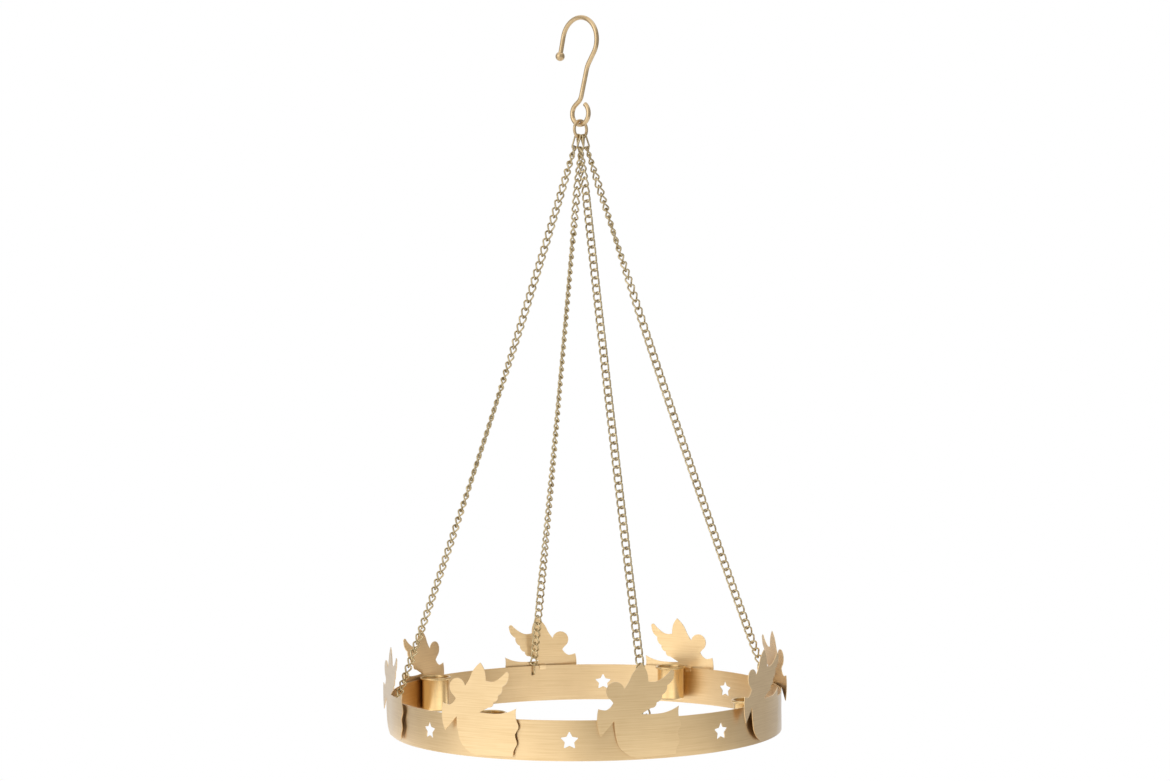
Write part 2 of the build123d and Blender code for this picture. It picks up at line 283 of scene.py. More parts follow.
def polar(centre, distance, turn):
    """A flat point, this far from a centre in a direction in radians."""
    return Vector((centre[0] + distance * math.cos(turn), centre[1] + distance * math.sin(turn)))


def around(radius, turn, height):
    """A point at this radius, direction in radians and height."""
    return Vector((radius * math.cos(turn), radius * math.sin(turn), height))


def arc(centre, radius, start, sweep, steps):
    """Flat points along an arc."""
    return [polar(centre, radius, start + sweep * k / steps) for k in range(steps + 1)]


def bulged_arc(start, end, rise, steps):
    """Flat points from start to end along an arc that rises to the left of the straight line."""
    start, end = Vector(start), Vector(end)
    chord = end - start
    radius = (chord.length ** 2 / 4 + rise ** 2) / (2 * rise)
    left = Vector((-chord.y, chord.x)).normalized()
    centre = (start + end) / 2 + left * (rise - radius)
    first = math.atan2(start.y - centre.y, start.x - centre.x)
    sweep = 2 * math.asin(chord.length / 2 / radius)
    return arc(centre, radius, first, -sweep, steps)


def rounded_path(corners, radii, closed, steps=CORNER_STEPS):
    """Points along straight runs whose corners are rounded."""
    points = []
    count = len(corners)
    for i, corner in enumerate(corners):
        if not closed and i in (0, count - 1):
            points.append(corner.copy())
            continue
        back = (corners[i - 1] - corner).normalized()
        ahead = (corners[(i + 1) % count] - corner).normalized()
        radius = radii[i % len(radii)]
        half = back.angle(ahead) / 2
        centre = corner + (back + ahead).normalized() * (radius / math.sin(half))
        first = corner + back * (radius / math.tan(half)) - centre
        last = corner + ahead * (radius / math.tan(half)) - centre
        sweep = math.pi - 2 * half
        for k in range(steps + 1):
            share = k / steps
            near = math.sin((1 - share) * sweep) / math.sin(sweep)
            far = math.sin(share * sweep) / math.sin(sweep)
            points.append(centre + first * near + last * far)
    return points


def smooth_curve(points, steps=CURVE_STEPS):
    """Flat points along a smooth curve through the given points."""
    points = [Vector(p) for p in points]
    runs = [(b - a).length for a, b in zip(points, points[1:])]
    slopes = [(b - a) / run for a, b, run in zip(points, points[1:], runs)]
    inner = []
    for i in range(len(slopes) - 1):
        inner.append((slopes[i] * runs[i + 1] + slopes[i + 1] * runs[i]) / (runs[i] + runs[i + 1]))
    tangents = [slopes[0] * 2 - inner[0], *inner, slopes[-1] * 2 - inner[-1]]
    curve = [points[0]]
    for i, run in enumerate(runs):
        for k in range(1, steps + 1):
            t = k / steps
            curve.append(
                points[i] * (2 * t**3 - 3 * t**2 + 1)
                + tangents[i] * run * (t**3 - 2 * t**2 + t)
                + points[i + 1] * (3 * t**2 - 2 * t**3)
                + tangents[i + 1] * run * (t**3 - t**2)
            )
    return curve


def upright(points):
    """Flat points stood up in the plane of the hook."""
    return [Vector((p.x, 0, p.y)) for p in points]


def facing(turn):
    """The directions outwards and onwards round the crown, at a turn in radians."""
    return around(1, turn, 0), around(1, turn + math.pi / 2, 0)


def axes_at(origin, x, y, z):
    """A frame at an origin, with these axes."""
    return Matrix.Translation(origin) @ Matrix((x, y, z)).transposed().to_4x4()


def new_object(name, data):
    """Put an object with this data in the scene."""
    added = bpy.data.objects.new(name, data)
    bpy.context.scene.collection.objects.link(added)
    return added


def new_piece(name, mesh, material, body, slot, *nodes):
    """Put a finished mesh in the scene in place of its nodes, riding on its body."""
    piece = new_object(name, mesh)
    mesh.materials.append(material)
    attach(piece, body)
    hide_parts(*nodes)


def listed_mesh(name, verts, faces):
    """A smooth mesh of these points and faces."""
    mesh = bpy.data.meshes.new(name)
    mesh.from_pydata(verts, [], faces)
    mesh.shade_smooth()
    return mesh


def finished_mesh(name, bm):
    """The mesh of a bmesh, which is then let go."""
    mesh = bpy.data.meshes.new(name)
    bm.to_mesh(mesh)
    bm.free()
    return mesh


def wire_rings(points, radius, closed, sides):
    """Rings of points round a wire's path, turned as little as the path allows."""
    count = len(points)
    tangents = []
    for i in range(count):
        before = points[i - 1] if closed or i else points[0]
        after = points[(i + 1) % count] if closed or i < count - 1 else points[-1]
        tangents.append((after - before).normalized())
    normals = [tangents[0].orthogonal().normalized()]
    for tangent in tangents[1:]:
        normals.append((normals[-1] - tangent * normals[-1].dot(tangent)).normalized())
    slip = 0
    if closed:
        last = (normals[-1] - tangents[0] * normals[-1].dot(tangents[0])).normalized()
        slip = math.atan2(last.cross(normals[0]).dot(tangents[0]), last.dot(normals[0]))
    rings = []
    for i, (point, tangent, normal) in enumerate(zip(points, tangents, normals)):
        side = tangent.cross(normal)
        turn = slip * i / count
        ring = []
        for k in range(sides):
            spin = turn + FULL_TURN * k / sides
            ring.append(point + (normal * math.cos(spin) + side * math.sin(spin)) * radius)
        rings.append(ring)
    return rings


def wire_faces(ring_count, sides, closed):
    """Faces of a tube whose rings follow one another, with flat ends where it is open."""
    faces = []
    for i in range(ring_count if closed else ring_count - 1):
        here, there = i * sides, (i + 1) % ring_count * sides
        for k in range(sides):
            after = (k + 1) % sides
            faces.append((here + k, here + after, there + after, there + k))
    if not closed:
        faces.append(tuple(reversed(range(sides))))
        faces.append(tuple(range((ring_count - 1) * sides, ring_count * sides)))
    return faces


def wire_mesh(name, points, radius, closed, sides=WIRE_SIDES):
    """A mesh of round wire along points."""
    rings = wire_rings(points, radius, closed, sides)
    mesh = listed_mesh(name, [v for ring in rings for v in ring], wire_faces(len(rings), sides, closed))
    if not closed:
        mesh.set_sharp_from_angle(angle=SHARP)
    return mesh


def plate_mesh(name, cells, thickness, edge, place, cut_step=0):
    """A mesh of sheet cut to outlines, with eased edges, whose flat points are carried to their place.

    A cell is a list of loops: its outline, then any holes. place turns a flat point and its normal into a
    point and a normal in the frame. Sheets that bend are cut across at every cut_step.
    """
    bm = bmesh.new()
    for loops in cells:
        edges = []
        for loop in loops:
            corners = [bm.verts.new((p[0], p[1], 0)) for p in loop]
            if len(loops) == 1:
                bm.faces.new(corners)
            else:
                edges += [bm.edges.new((a, b)) for a, b in zip(corners, corners[1:] + corners[:1])]
        if edges:
            bmesh.ops.triangle_fill(bm, use_beauty=True, edges=edges, normal=(0, 0, 1))
    bmesh.ops.remove_doubles(bm, verts=bm.verts, dist=SAME_POINT)
    if cut_step:
        across = [vert.co.x for vert in bm.verts]
        for k in range(math.ceil(min(across) / cut_step), math.floor(max(across) / cut_step) + 1):
            everything = bm.verts[:] + bm.edges[:] + bm.faces[:]
            bmesh.ops.bisect_plane(bm, geom=everything, plane_co=(k * cut_step, 0, 0), plane_no=(1, 0, 0))
        bmesh.ops.remove_doubles(bm, verts=bm.verts, dist=edge)
    raised = bmesh.ops.extrude_face_region(bm, geom=bm.faces[:])["geom"]
    raised_verts = [part for part in raised if isinstance(part, bmesh.types.BMVert)]
    bmesh.ops.translate(bm, vec=(0, 0, thickness), verts=raised_verts)
    bmesh.ops.recalc_face_normals(bm, faces=bm.faces)
    sharp = [e for e in bm.edges if e.is_manifold and e.calc_face_angle() > SHARP]
    rim = [e for e in sharp if abs(e.verts[0].co.z - e.verts[1].co.z) < edge]
    bmesh.ops.bevel(bm, geom=rim, offset=edge, segments=BEVEL_STEPS, profile=ROUND_PROFILE, affect="EDGES",
                    clamp_overlap=True)
    bm.normal_update()
    brush = bm.loops.layers.uv.new("brush")
    normals = []
    for vert in bm.verts:
        total = Vector()
        for face in vert.link_faces:
            flat = abs(face.normal.z) > FLAT
            total += face.normal * face.calc_area() * (1 if flat else EDGE_WEIGHT)
        normals.append(total.normalized())
    for face in bm.faces:
        face.smooth = True
        for loop in face.loops:
            loop[brush].uv = loop.vert.co.xy
    placed = [place(vert.co, normal) for vert, normal in zip(bm.verts, normals)]
    for vert, (point, _) in zip(bm.verts, placed):
        vert.co = point
    mesh = finished_mesh(name, bm)
    mesh.normals_split_custom_set_from_vertices([normal for _, normal in placed])
    return mesh


def rolled(turn, radius, height):
    """A placing function for a strip rolled round the crown from this direction, its inner face at radius."""
    def place(point, normal):
        out, along = facing(turn + point.x / radius)
        placed = out * (radius + point.z) + Vector((0, 0, height + point.y))
        return placed, (along * normal.x + Vector((0, 0, normal.y)) + out * normal.z).normalized()
    return place


def moved_by(matrix):
    """A placing function for a plate that stays flat."""
    turn = matrix.to_3x3()
    return lambda point, normal: (matrix @ point, (turn @ normal).normalized())


def add_node(tree, kind, inputs=(), **settings):
    """Add a node with its settings, and set or link its inputs."""
    node = tree.nodes.new(kind)
    for name, value in settings.items():
        setattr(node, name, value)
    for socket, value in dict(inputs).items():
        if isinstance(value, bpy.types.NodeSocket):
            tree.links.new(value, node.inputs[socket])
        else:
            node.inputs[socket].default_value = value
    return node


def new_material(name):
    """A material with an empty node tree, and that tree."""
    material = bpy.data.materials.new(name)
    material.use_nodes = True
    material.node_tree.nodes.clear()
    return material, material.node_tree


def show(tree, surface, kind="ShaderNodeOutputMaterial"):
    """Give a node tree its output, which shows this surface."""
    add_node(tree, kind, {"Surface": surface})


def noise(tree, place, sizes, detail, roughness=0.5):
    """Noise whose blots have these sizes along the axes, in metres."""
    scaled = add_node(tree, "ShaderNodeMapping", {"Vector": place, "Scale": [1 / size for size in sizes]})
    return add_node(tree, "ShaderNodeTexNoise", {
        "Vector": scaled.outputs["Vector"], "Scale": 1.0, "Detail": detail,
        "Roughness": roughness}).outputs["Fac"]


def spread(tree, value, source, target):
    """A value carried from one range to another and held at its ends."""
    return add_node(tree, "ShaderNodeMapRange", {
        "Value": value, "From Min": source[0], "From Max": source[1],
        "To Min": target[0], "To Max": target[1]}).outputs["Result"]


def blend(tree, share, first, second):
    """The first colour, going over to the second by a share."""
    return add_node(tree, "ShaderNodeMix", {
        "Factor": share, 6: (*first, 1), 7: (*second, 1)}, data_type="RGBA").outputs[2]


def joined(tree, operation, first, second):
    """Two values put together by an operation."""
    return add_node(tree, "ShaderNodeMath", {0: first, 1: second}, operation=operation).outputs["Value"]


def object_place(tree):
    """Where a point lies on its object, in metres."""
    return add_node(tree, "ShaderNodeTexCoord").outputs["Object"]


def show_metal(tree, inputs):
    """Show a metal surface with these inputs."""
    show(tree, add_node(tree, "ShaderNodeBsdfPrincipled", {"Metallic": 1.0, **inputs}).outputs["BSDF"])


def brushed_brass_sheet(name, light, dark):
    """Pale brass, brushed lengthwise and lacquered: soft level streaks, highlights drawn out upright."""
    material, tree = new_material(name)
    grain = add_node(tree, "ShaderNodeUVMap", uv_map="brush").outputs["UV"]
    # Brush lines are about 0.1 mm high; they are drawn 0.9 mm high so that they show in the render
    streaks = noise(tree, grain, (45 * MM, 0.9 * MM, 1), detail=4.0, roughness=0.6)
    # Lacquer and handling leave soft clouds about 25 mm across
    clouds = noise(tree, grain, [25 * MM] * 3, detail=2.0)
    tone = spread(tree, streaks, NOISE_SPAN, (0.0, 1.0))
    worn = spread(tree, clouds, NOISE_SPAN, (0.25, 0.6))
    lines = add_node(tree, "ShaderNodeBump", {"Height": streaks, "Strength": 0.05, "Distance": 0.1 * MM})
    along = add_node(tree, "ShaderNodeTangent", direction_type="UV_MAP", uv_map="brush")
    show_metal(tree, {
        "Base Color": blend(tree, joined(tree, "MULTIPLY", tone, worn), light, dark),
        "Roughness": spread(tree, streaks, NOISE_SPAN, (0.36, 0.46)),
        "Normal": lines.outputs["Normal"], "Tangent": along.outputs["Tangent"],
        "Anisotropic": 0.8, "Anisotropic Rotation": 0.25, "Coat Weight": 1.0, "Coat Roughness": 0.3})
    return material


def drawn_brass(light, dark):
    """Brass drawn to a cup and polished: faint rings round the wall and a soft even gloss."""
    material, tree = new_material("drawn_brass_cup")
    # Drawing marks are about 0.05 mm high; they are drawn 0.8 mm high so that they show in the render
    marks = noise(tree, object_place(tree), (30 * MM, 30 * MM, 0.8 * MM), detail=3.0)
    show_metal(tree, {
        "Base Color": blend(tree, spread(tree, marks, (0.35, 0.7), (0.0, 0.2)), light, dark),
        "Roughness": spread(tree, marks, NOISE_SPAN, (0.23, 0.27))})
    return material


def satin_brass_wire(light, dark):
    """Brass wire with a tumbled satin finish: fine mottling, and darker lacquer in patches along the wire."""
    material, tree = new_material("satin_brass_wire")
    place = object_place(tree)
    # Tumbling leaves a grit of about 0.3 mm, and the lacquer clouds over about 6 mm
    grit = noise(tree, place, [0.3 * MM] * 3, detail=2.0)
    clouds = noise(tree, place, [6 * MM] * 3, detail=3.0)
    show_metal(tree, {
        "Base Color": blend(tree, spread(tree, clouds, (0.35, 0.75), (0.0, 0.7)), light, dark),
        "Roughness": spread(tree, grit, NOISE_SPAN, (0.26, 0.36)), "Coat Weight": 1.0, "Coat Roughness": 0.2})
    return material


def tumbled_brass_chain(light, dark, edge):
    """Brass chain, tumbled and toned: paler and greyer than the hook, its links outlined by a painted brown
    shade where the wire turns away from the eye.
    """
    material, tree = new_material("tumbled_brass_chain")
    # Tone gathers in patches of about 4 mm, so that no two links look the same
    clouds = noise(tree, object_place(tree), [4 * MM] * 3, detail=3.0)
    # The specular tint is painted shade: it darkens each link to brown at its grazing edges, where the wire
    # turns away from the eye
    show_metal(tree, {
        "Base Color": blend(tree, spread(tree, clouds, (0.35, 0.7), (0.0, 0.8)), light, dark),
        "Roughness": spread(tree, clouds, NOISE_SPAN, (0.22, 0.32)), "Specular Tint": (*edge, 1)})
    return material


def finish_named(name):
    """The brass finish of that name, made once."""
    found = bpy.data.materials.get(name)
    if found:
        return found
    colours = bpy.context.scene.candle_ring_colours
    if name == "satin_brass_wire":
        return satin_brass_wire(colours.wire, colours.wire_dark)
    if name == "tumbled_brass_chain":
        return tumbled_brass_chain(colours.chain, colours.chain_dark, colours.chain_edge_shade)
    if name == "drawn_brass_cup":
        return drawn_brass(colours.cup, colours.sheet_dark)
    if name == "brushed_brass_band":
        return brushed_brass_sheet(name, colours.band, colours.band_dark)
    return brushed_brass_sheet(name, colours.sheet, colours.sheet_dark)


def node_turn(node):
    """Direction of a node round the crown, in radians."""
    low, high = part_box(node)
    middle = (low + high) / 2
    return math.atan2(middle.y, middle.x)


def chain_turns():
    """Directions of the chains round the crown, in radians."""
    return [node_turn(f"end_link_{k}") for k in range(1, CHAINS + 1)]


class CANDLE_OT_hook(bpy.types.Operator):
    """Bend the hook from one wire and put the ball on its free end"""

    bl_idname = "candle_ring.hook"
    bl_label = "Hook"

    def execute(self, context):
        sizes = context.scene.candle_ring_hook
        low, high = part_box("hook")
        bow = Vector((0, high.z - sizes.wire / 2 - sizes.bow_radius))
        eye = Vector((0, low.z + sizes.wire / 2 + sizes.eye_radius))
        tip = polar(bow, sizes.bow_radius, math.pi - sizes.tip_flare)
        ball = polar(tip, sizes.tip_length, math.pi * 1.5 - sizes.tip_flare)
        bow_stop = polar(bow, sizes.bow_radius, -sizes.bow_end)
        neck = polar(bow_stop, sizes.neck_run, -sizes.bow_end - math.pi / 2)
        eye_entry = polar(eye, sizes.eye_radius, sizes.eye_start)
        shank_foot = polar(eye_entry, sizes.eye_run, sizes.eye_start - math.pi / 2)
        sweep = math.pi - sizes.tip_flare + sizes.bow_end
        path = [ball]
        path += arc(bow, sizes.bow_radius, math.pi - sizes.tip_flare, -sweep, ROUND_STEPS // 2)[:-1]
        shank = [bow_stop, neck, shank_foot, eye_entry]
        path += rounded_path(shank, [0, sizes.neck_bend, sizes.eye_bend], False, CURVE_STEPS)[:-1]
        path += arc(eye, sizes.eye_radius, sizes.eye_start, sizes.eye_arc, ROUND_STEPS // 2)
        brass = finish_named("satin_brass_wire")
        mesh = wire_mesh("bent_hook", upright(path), sizes.wire / 2, False, 2 * WIRE_SIDES)
        new_piece("bent_hook", mesh, brass, "hook", "hook_brass", "hook")

        bm = bmesh.new()
        rounds, levels = ROUND_STEPS // 2, ROUND_STEPS // 4
        bmesh.ops.create_uvsphere(bm, u_segments=rounds, v_segments=levels, radius=sizes.ball / 2)
        bmesh.ops.translate(bm, vec=upright([ball])[0], verts=bm.verts)
        mesh = finished_mesh("ball_end", bm)
        mesh.shade_smooth()
        new_piece("ball_end", mesh, brass, "hook", "hook_brass", "hook_ball")
        return {"FINISHED"}


class CANDLE_OT_ring(bpy.types.Operator):
    """Bend the ring that hangs in the hook's eye"""

    bl_idname = "candle_ring.ring"
    bl_label = "Top ring"

    def execute(self, context):
        sizes = context.scene.candle_ring_hook
        low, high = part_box("top_ring")
        middle = (low + high) / 2
        radius = (sizes.ring_width - sizes.ring_wire) / 2
        circle = arc((0, middle.z), radius, 0, FULL_TURN, ROUND_STEPS // 2)[:-1]
        path = [Vector((0, p.x, p.y)) for p in circle]
        mesh = wire_mesh("hanging_ring", path, sizes.ring_wire / 2, True, 2 * WIRE_SIDES)
        brass = finish_named("satin_brass_wire")
        new_piece("hanging_ring", mesh, brass, "top_ring", "hook_brass", "top_ring")
        return {"FINISHED"}


def read_off(knots, place):
    """The value at a place between knots that pair places with values."""
    for (start, low), (end, high) in zip(knots, knots[1:]):
        if place <= end:
            return low + (high - low) * (place - start) / (end - start)


def link_frame(upper, lower, roll):
    """Where the link between two crossings lies, rolled about its length."""
    line = upper - lower
    across = line.cross(around(1, roll, 0)).cross(line).normalized()
    along = line.normalized()
    return axes_at((upper + lower) / 2, across, along.cross(across), along)


def end_link_middle(scene):
    """Half an end link's width at the wire's middle, and how far out its own middle lies."""
    sizes = scene.candle_ring_chains
    half = (sizes.end_width - sizes.wire) / 2
    return half, scene.candle_ring_crown.diameter / 2 + sizes.end_play + sizes.wire / 2 - half


def angel_radius(scene):
    """How far out the angels' inner faces lie, clear of the end links outside the band."""
    sizes = scene.candle_ring_chains
    return scene.candle_ring_crown.diameter / 2 + sizes.wire + 2 * sizes.end_play


def chain_seats(scene, turns):
    """Where each chain bears on the ring, and the crossings of its links down to its foot on the band."""
    sizes, hook_sizes = scene.candle_ring_chains, scene.candle_ring_hook
    ring_low, ring_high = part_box("top_ring")
    ring_middle = (ring_low.z + ring_high.z) / 2
    ring_radius = (hook_sizes.ring_width - hook_sizes.ring_wire) / 2
    seat_radius = ring_radius - hook_sizes.ring_wire / 2 - sizes.play
    side_turn = (sizes.wire + sizes.head_gap) / (seat_radius - sizes.wire / 2)
    end_half, end_radius = end_link_middle(scene)
    chain_length = sizes.head_pitch + sizes.links * sizes.pitch
    lean = math.asin(end_radius / chain_length)
    end_seat = end_half - sizes.wire / 2
    foot_radius = end_radius - end_seat * math.sin(lean)
    foot_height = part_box("band")[1].z + sizes.end_top_play + end_seat * math.cos(lean)
    order = sorted(turns, key=math.sin)
    shares = [(sizes.head_pitch + sizes.pitch * k) / chain_length for k in range(sizes.links + 1)]
    for turn in turns:
        seat_turn = side_turn * (order.index(turn) - (len(turns) - 1) / 2)
        seat = Vector((0, seat_radius * math.sin(seat_turn), ring_middle - seat_radius * math.cos(seat_turn)))
        chord = around(foot_radius, turn, foot_height) - seat
        hang = chord.cross(Vector((0, 0, 1))).cross(chord).normalized() * -sizes.sag
        yield seat, [seat + chord * share + hang * (4 * share * (1 - share)) for share in shares]


class CANDLE_OT_chains(bpy.types.Operator):
    """Link the curb chains and their plain head links"""

    bl_idname = "candle_ring.chains"
    bl_label = "Chains"

    def execute(self, context):
        sizes = context.scene.candle_ring_chains
        brass = finish_named("tumbled_brass_chain")
        half = (sizes.width - sizes.wire) / 2
        reach = (sizes.pitch + sizes.wire + sizes.play) / 2
        corners = [(half, -half, reach), (half, half, -reach), (-half, -half, -reach), (-half, half, reach)]
        path = rounded_path([Vector(c) for c in corners], [sizes.bend], True)
        link = [v for ring in wire_rings(path, sizes.wire / 2, True, LINK_SIDES) for v in ring]
        link_faces = wire_faces(len(path), LINK_SIDES, True)
        head_half = (sizes.head_width - sizes.wire) / 2
        head_reach = (sizes.head_pitch + sizes.wire + sizes.play) / 2
        corners = [(x * head_half, z * head_reach) for x, z in ((1, 1), (1, -1), (-1, -1), (-1, 1))]
        head_path = rounded_path(upright([Vector(c) for c in corners]), [sizes.bend], True)
        turns = chain_turns()
        seats = chain_seats(context.scene, turns)
        for number, (turn, (seat, crossings)) in enumerate(zip(turns, seats), start=1):
            body = f"chain_{number}"
            place = link_frame(seat, crossings[0], 0)
            mesh = wire_mesh(f"chain_head_{number}", [place @ p for p in head_path], sizes.wire / 2, True)
            new_piece(f"chain_head_{number}", mesh, brass, body, "chain_brass", f"head_link_{number}")
            twist = [(share, math.radians(degrees)) for share, degrees in CHAIN_TWISTS[number - 1]]
            knots = [(0, 0), *twist, (1, turn % math.pi - math.pi / 2)]
            verts, faces = [], []
            for k in range(sizes.links):
                roll = sizes.first_roll + read_off(knots, k / (sizes.links - 1))
                place = link_frame(crossings[k], crossings[k + 1], roll)
                faces += [tuple(len(verts) + i for i in face) for face in link_faces]
                verts += [place @ v for v in link]
            mesh = listed_mesh(f"curb_chain_{number}", verts, faces)
            new_piece(f"curb_chain_{number}", mesh, brass, body, "chain_brass", f"chain_{number}")
        return {"FINISHED"}


class CANDLE_OT_end_links(bpy.types.Operator):
    """Bend the links that join the chains to the band"""

    bl_idname = "candle_ring.end_links"
    bl_label = "End links"

    def execute(self, context):
        sizes = context.scene.candle_ring_chains
        half, middle = end_link_middle(context.scene)
        brass = finish_named("tumbled_brass_chain")
        for number, turn in enumerate(chain_turns(), start=1):
            low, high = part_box(f"end_link_{number}")
            top = high.z - sizes.wire / 2 - half
            bottom = low.z + sizes.wire / 2 + half
            loop = arc((middle, top), half, 0, math.pi, ROUND_STEPS // 6)
            loop += arc((middle, bottom), half, math.pi, math.pi, ROUND_STEPS // 6)
            path = [around(p.x, turn, p.y) for p in loop]
            mesh = wire_mesh(f"chain_end_{number}", path, sizes.wire / 2, True)
            new_piece(f"chain_end_{number}", mesh, brass, "crown", "chain_brass", f"end_link_{number}")
        return {"FINISHED"}


def strip_cells(length_round, height, holes, rows, step):
    """Cells of a flat strip: a cell round each hole, and plain cells no longer than step between them."""
    cells = []
    heights = [height * k / rows for k in range(rows + 1)]
    left = 0
    for centre, half_width, outline in sorted(holes, key=lambda hole: hole[0]) + [(length_round, 0, None)]:
        right = centre - half_width
        columns = max(1, math.ceil((right - left) / step))
        marks = [left + (right - left) * k / columns for k in range(columns + 1)]
        for a, b in zip(marks, marks[1:]):
            for low, high in zip(heights, heights[1:]):
                cells.append([[(a, low), (b, low), (b, high), (a, high)]])
        if outline is None:
            break
        left = centre + half_width
        across = [right + (left - right) * k / rows for k in range(rows + 1)]
        rim = [(x, 0) for x in across] + [(left, h) for h in heights[1:]]
        rim += [(x, height) for x in reversed(across[:-1])] + [(right, h) for h in reversed(heights[1:-1])]
        cells.append([rim, outline])
    return cells


class CANDLE_OT_band(bpy.types.Operator):
    """Cut the strip with its stars and chain holes and roll it into the band"""

    bl_idname = "candle_ring.band"
    bl_label = "Star band"

    def execute(self, context):
        sizes = context.scene.candle_ring_crown
        chain_sizes = context.scene.candle_ring_chains
        low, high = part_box("band")
        radius = sizes.diameter / 2
        height = high.z - low.z
        turns = chain_turns()
        seam_turn = node_turn("candle_cup_2")
        corners = []
        for k in range(sizes.star_tips):
            tip_turn = math.pi / 2 + FULL_TURN * k / sizes.star_tips
            corners.append(polar((0, 0), sizes.star_radius, tip_turn))
            corners.append(polar((0, 0), sizes.star_waist, tip_turn + math.pi / sizes.star_tips))
        star = rounded_path(corners, [sizes.tip_round, sizes.waist_round], True)
        eyelet = arc((0, 0), chain_sizes.end_hole / 2, 0, FULL_TURN, ROUND_STEPS // 3)[:-1]
        holes = []
        for k in range(ANGELS):
            turn = (turns[0] + FULL_TURN * (k + 0.5) / ANGELS - seam_turn) % FULL_TURN
            outline = [(turn * radius + p.x, height / 2 + p.y) for p in star]
            holes.append((turn * radius, STAR_MARGIN * sizes.star_radius, outline))
        for chain_turn in turns:
            turn = (chain_turn - seam_turn) % FULL_TURN
            outline = [(turn * radius + p.x, height - chain_sizes.end_hole_drop + p.y) for p in eyelet]
            holes.append((turn * radius, HOLE_MARGIN * chain_sizes.end_hole, outline))
        strip = FULL_TURN * radius - sizes.seam
        cells = strip_cells(strip, height, holes, STRIP_ROWS, STRIP_STEP)
        start = seam_turn + sizes.seam / 2 / radius
        place = rolled(start, radius - sizes.sheet, low.z)
        mesh = plate_mesh("star_band", cells, sizes.sheet, sizes.eased_edge, place)
        new_piece("star_band", mesh, finish_named("brushed_brass_band"), "crown", "brushed_brass", "band")
        return {"FINISHED"}


class CANDLE_OT_cups(bpy.types.Operator):
    """Draw the candle cups with their rolled lips"""

    bl_idname = "candle_ring.cups"
    bl_label = "Candle cups"

    def execute(self, context):
        sizes = context.scene.candle_ring_crown
        inner = sizes.cup_bore / 2
        outer = inner + sizes.cup_wall
        band_inside = sizes.diameter / 2 - sizes.sheet
        band_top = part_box("band")[1].z
        lip = sizes.cup_lip / 2
        corner = sizes.cup_floor_round
        well = corner - sizes.cup_wall
        brass = finish_named("drawn_brass_cup")
        for number in range(1, CHAINS + 1):
            low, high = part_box(f"candle_cup_{number}")
            middle = (low + high) / 2
            lip_centre = Vector((outer + lip - sizes.cup_wall / 2, high.z - lip))
            bend = low.z + corner
            floor_round = arc((outer - corner, bend), corner, -math.pi / 2, math.pi / 2, CORNER_STEPS)
            well_round = arc((inner - well, bend), well, 0, -math.pi / 2, CORNER_STEPS)
            join = math.pi + math.acos((lip_centre.x - outer) / lip)
            roll = arc(lip_centre, lip, join, math.pi * 3 - join, 3 * CURVE_STEPS)
            profile = [Vector((0, low.z)), *floor_round, *roll, Vector((inner, high.z - 2 * lip))]
            profile += [*well_round, Vector((0, low.z + sizes.cup_wall))]
            bm = bmesh.new()
            chain = [bm.verts.new((middle.x + p.x, middle.y, p.y)) for p in profile]
            edges = [bm.edges.new(pair) for pair in zip(chain, chain[1:])]
            bmesh.ops.spin(bm, geom=chain + edges, axis=(0, 0, 1), cent=(middle.x, middle.y, 0),
                           angle=FULL_TURN, steps=ROUND_STEPS, use_duplicate=False)
            bmesh.ops.remove_doubles(bm, verts=bm.verts, dist=SAME_CUP_POINT)
            bmesh.ops.recalc_face_normals(bm, faces=bm.faces)
            # Where the cup is soldered, its wall lies against the band
            for vert in bm.verts:
                out = vert.co.xy.length
                if out > band_inside and vert.co.z < band_top:
                    vert.co.xy *= band_inside / out
            name = f"candle_socket_{number}"
            mesh = finished_mesh(name, bm)
            mesh.shade_smooth()
            mesh.set_sharp_from_angle(angle=CUP_SHARP)
            new_piece(name, mesh, brass, "crown", "drawn_brass", f"candle_cup_{number}")
        return {"FINISHED"}


def angel_outlines():
    """The outlines of an angel's flat body and of the skirt's tail behind it, in metres."""
    body = smooth_curve([ARM_TIP, *ARM_TOP])
    start, end = math.radians(CHIN_ANGLE), math.radians(NAPE_ANGLE)
    body += arc(HEAD_CENTRE, HEAD_RADIUS, start, end - start, 4 * CURVE_STEPS)
    body += smooth_curve([body[-1], *WING_FRONT])[1:]
    body += smooth_curve([WING_FRONT[-1], *WING_INNER_EDGE])[1:]
    body += smooth_curve([WING_INNER_EDGE[-1], *WING_TOP])[1:]
    for tip, next_tip in zip(FEATHER_TIPS, FEATHER_TIPS[1:]):
        body += bulged_arc(tip, next_tip, FEATHER_BULGE, CURVE_STEPS)[1:]
    body += [Vector(NOTCH), Vector(TAIL_FOOT)]
    body += smooth_curve([SKIRT_BOTTOM, *SKIRT_FRONT])
    body += smooth_curve([CUFF_BOTTOM, CUFF_SIDE, ARM_TIP])[:-1]
    tail = smooth_curve([NOTCH, *SKIRT_TOP])
    tail += smooth_curve([SKIRT_TOP[-1], *HEM])[1:]
    tail.append(Vector(TAIL_FOOT))
    return [[p * MM for p in reversed(outline)] for outline in (body, tail)]


def hugging(turn, radius, height):
    """A placing function for an angel: flat, but for the tail of its skirt, which follows the band."""
    follow = rolled(turn, radius, height)
    out, along = facing(turn)
    stand = moved_by(axes_at(around(radius, turn, height), along, (0, 0, 1), out))

    def place(point, normal):
        slot = NOTCH[1] * MM + TAIL_SLOPE * point.x
        return (follow if point.x > 0 and point.y < slot else stand)(point, normal)
    return place


